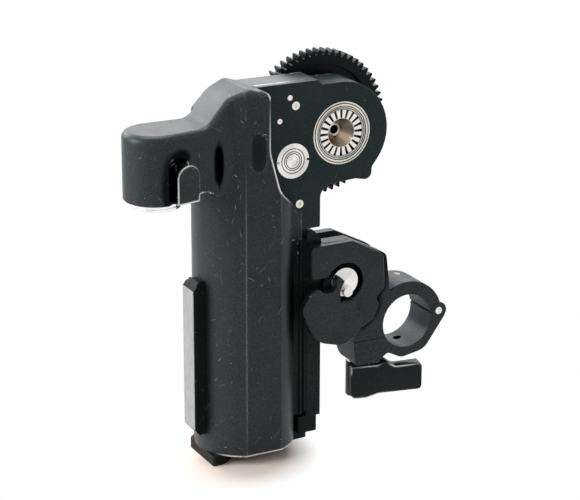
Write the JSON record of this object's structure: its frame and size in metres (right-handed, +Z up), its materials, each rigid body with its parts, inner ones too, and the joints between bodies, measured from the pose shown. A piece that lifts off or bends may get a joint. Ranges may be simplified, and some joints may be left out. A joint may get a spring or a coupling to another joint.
{
  "type": "follow focus motor unit",
  "caption": "Black follow focus lens motor: upright tube with connector horn, gear head with side lens gear, accessory rails and a sliding rod bracket with hinged clamp.",
  "frame": {"origin": "on the axis of the motor tube, in the plane the base cap stands on", "axes": "+Z up along the motor tube, +X from the tube towards the output gear and the rod bracket, -Y towards the cover plate, +Y towards the lens gear"},
  "size_m": [0.1198, 0.0347, 0.1341],
  "materials": {
    "housing_black": "black anodised, satin, worn",
    "cover_black": "black anodised, smooth",
    "rail_black": "black anodised, bead blasted",
    "bracket_black": "black anodised, satin",
    "gear_black": "black anodised, machined",
    "cap_black": "moulded, matte",
    "screw_black": "black oxide",
    "steel": "ground",
    "bearing_steel": "turned, bright",
    "hub_steel": "turned, bright, warm tint",
    "gear_steel": "hobbed",
    "motor_steel": "drawn, satin",
    "bronze": "sintered",
    "connector_bright": "bright",
    "insulator": "moulded",
    "gold": "plated, bright",
    "board": "printed circuit board",
    "sealant": "matte"
  },
  "bodies": {
    "motor": {"motor_housing": "housing_black", "cover_plate": "cover_black", "cover_screws": "steel", "cover_dowels": "steel", "main_bearing_race": "bearing_steel", "middle_bearing_cap": "bearing_steel", "output_rear_bush": "bronze", "middle_rear_bush": "bronze", "drive_bush": "bronze", "gearhead": "motor_steel", "motor_can": "motor_steel", "motor_sleeve": "cap_black", "encoder_board": "board", "base_cap": "cap_black", "left_rail": "rail_black", "right_rail": "rail_black", "left_rail_screws": "screw_black", "right_rail_screws": "screw_black", "console_bar": "rail_black", "bar_screws": "screw_black", "bar_stop": "cap_black", "connector_shell": "connector_bright", "connector_insert": "insulator", "connector_contacts": "gold"},
    "output": {"output_shaft": "hub_steel", "output_wheel": "gear_steel", "lens_spacer": "gear_black", "lens_gear": "gear_black", "lens_screw": "screw_black", "main_bearing_inner": "bearing_steel"},
    "middle": {"middle_shaft": "steel", "output_pinion": "gear_steel", "transfer_wheel": "gear_steel"},
    "transfer": {"transfer_shaft": "steel", "transfer_pinion": "gear_steel", "bevel_wheel": "gear_steel"},
    "drive": {"drive_shaft": "steel", "bevel_pinion": "gear_steel"},
    "bracket": {"bracket_body": "bracket_black", "ring_plug": "sealant", "clamp_shoe": "bronze", "hinge_pin": "steel"},
    "cam": {"cam_shaft": "bearing_steel", "cam_lever": "bracket_black", "lever_link": "steel", "lever_screw": "steel"},
    "jaw": {"lower_jaw": "bracket_black"},
    "washer": {"clamp_washer": "steel"},
    "clamp": {"clamp_screw": "steel", "clamp_handle": "bracket_black"}
  },
  "joints": [
    {"name": "output_spin", "type": "hinge", "parent": "motor", "child": "output", "pos_m": [0.0319, 0, 0.1093], "axis": [0, 1, 0], "continuous": true},
    {"name": "middle_spin", "type": "hinge", "parent": "motor", "child": "middle", "pos_m": [0.01379, 0, 0.10207], "axis": [0, 1, 0], "continuous": true},
    {"name": "transfer_spin", "type": "hinge", "parent": "motor", "child": "transfer", "pos_m": [0, 0, 0.10154], "axis": [0, 1, 0], "continuous": true},
    {"name": "drive_spin", "type": "hinge", "parent": "motor", "child": "drive", "pos_m": [0, 0, 0.0913], "axis": [0, 0, 1], "continuous": true},
    {"name": "bracket_slide", "type": "slide", "parent": "motor", "child": "bracket", "axis": [0, 0, 1], "range_m": [-0.036, 0.005]},
    {"name": "cam_swing", "type": "hinge", "parent": "bracket", "child": "cam", "pos_m": [0.033, -0.012, 0.0576], "axis": [0, -1, 0], "range_deg": [0, 85]},
    {"name": "jaw_swing", "type": "hinge", "parent": "bracket", "child": "jaw", "pos_m": [0.0721, -0.00135, 0.04], "axis": [0, -1, 0], "range_deg": [0, 75]},
    {"name": "clamp_travel", "type": "slide", "parent": "jaw", "child": "washer", "axis": [0, 0, -1], "range_m": [0, 0.000266]},
    {"name": "clamp_turn", "type": "hinge", "parent": "washer", "child": "clamp", "pos_m": [0.0435, -0.00135, 0.0213], "axis": [0, 0, -1], "range_deg": [0, 120]}
  ],
  "couplings": [
    {"joint": "middle_spin", "follows": "output_spin", "ratio": -1.6},
    {"joint": "transfer_spin", "follows": "output_spin", "ratio": 2.4889},
    {"joint": "drive_spin", "follows": "output_spin", "ratio": -2.4889},
    {"joint": "clamp_turn", "follows": "clamp_travel", "rad_per_m": 7854}
  ]
}
